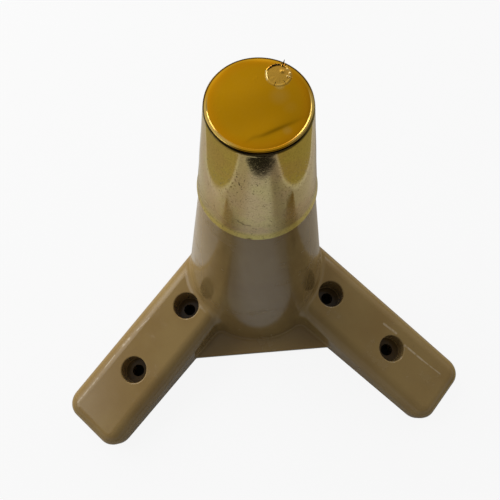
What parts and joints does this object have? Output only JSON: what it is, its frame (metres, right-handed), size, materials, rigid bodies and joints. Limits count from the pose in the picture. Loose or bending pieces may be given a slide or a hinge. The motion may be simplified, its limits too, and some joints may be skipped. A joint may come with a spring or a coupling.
{
  "type": "corner furniture leg with brass ferrule",
  "caption": "Tapered plastic furniture leg that screws up into the corner of a frame by two arms, with a brass ferrule pressed over its foot.",
  "frame": {"origin": "leg axis in the mounting face, which lies against the furniture's frame", "axes": "+Z from the mounting face towards the foot, -Y out of the corner between the two arms, +X towards the right-hand arm"},
  "size_m": [0.156, 0.0949, 0.1228],
  "materials": {
    "tan_plastic": "glossy moulded tan plastic",
    "worn_brass": "polished sheet brass, paler and scratched on the skirt"
  },
  "bodies": {
    "root": {"moulded_leg": "tan_plastic", "brass_ferrule": "worn_brass"}
  },
  "joints": []
}
